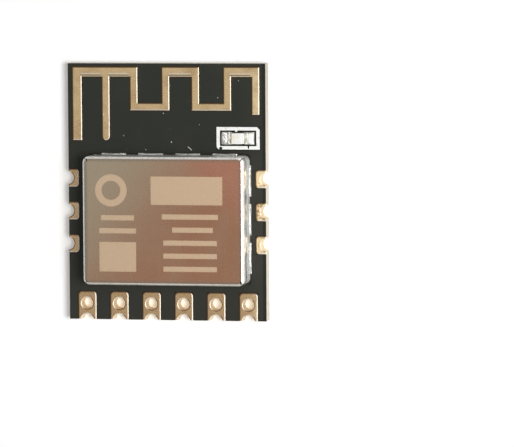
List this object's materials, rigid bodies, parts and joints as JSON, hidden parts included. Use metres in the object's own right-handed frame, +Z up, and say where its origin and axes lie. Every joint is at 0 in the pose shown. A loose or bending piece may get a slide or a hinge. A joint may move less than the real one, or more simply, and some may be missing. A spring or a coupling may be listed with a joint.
{
  "type": "wifi module",
  "caption": "Small radio module: black circuit board with a gold meander antenna, plated edge half holes, a row of pin holes, an indicator and a folded metal shield can.",
  "frame": {"origin": "middle of the board's underside, at the face of the lower copper pads", "axes": "+X to the right seen from above with the antenna away, +Y towards the antenna end, +Z up out of the component side"},
  "size_m": [0.0154, 0.0198, 0.0037],
  "materials": {
    "laminate": "glass-epoxy, cut edge, matt",
    "solder_mask": "black solder mask, semi-gloss",
    "gold": "gold-plated copper, satin",
    "can_sheet": "plated sheet, satin",
    "solder": "tin solder, bright",
    "led_base": "white laminate, matt",
    "led_plating": "plated, bright",
    "led_die": "yellow, smooth",
    "led_lens": "clear cast resin, milky",
    "ink": "printed ink, matt",
    "mould": "moulded compound, matt",
    "tin": "tin plated, satin",
    "crystal_ceramic": "fired, matt",
    "capacitor_ceramic": "fired, matt"
  },
  "bodies": {
    "root": {"laminate": "laminate", "mask_top_side": "solder_mask", "mask_under_side": "solder_mask", "antenna": "gold", "pin_pad_1": "gold", "pin_pad_2": "gold", "pin_pad_3": "gold", "pin_pad_4": "gold", "pin_pad_5": "gold", "pin_pad_6": "gold", "side_pad_w1": "gold", "side_pad_w2": "gold", "side_pad_w3": "gold", "side_pad_e1": "gold", "side_pad_e2": "gold", "side_pad_e3": "gold", "can_land": "solder", "can_solder": "solder", "shield_can": "can_sheet", "led_land_w": "gold", "led_land_e": "gold", "led_base": "led_base", "led_cap_w": "led_plating", "led_cap_e": "led_plating", "led_die": "led_die", "led_lens": "led_lens", "led_solder_w": "solder", "led_solder_e": "solder", "led_frame": "ink", "chip_lands": "gold", "chip_leads": "tin", "chip_paddle": "tin", "chip_body": "mould", "crystal_lands": "gold", "crystal_base": "crystal_ceramic", "crystal_lid": "tin", "passive_lands": "gold", "passive_1_body": "capacitor_ceramic", "passive_1_ends": "tin", "passive_2_body": "capacitor_ceramic", "passive_2_ends": "tin", "passive_3_body": "capacitor_ceramic", "passive_3_ends": "tin", "passive_4_body": "capacitor_ceramic", "passive_4_ends": "tin", "passive_5_body": "capacitor_ceramic", "passive_5_ends": "tin", "passive_6_body": "capacitor_ceramic", "passive_6_ends": "tin"}
  },
  "joints": []
}
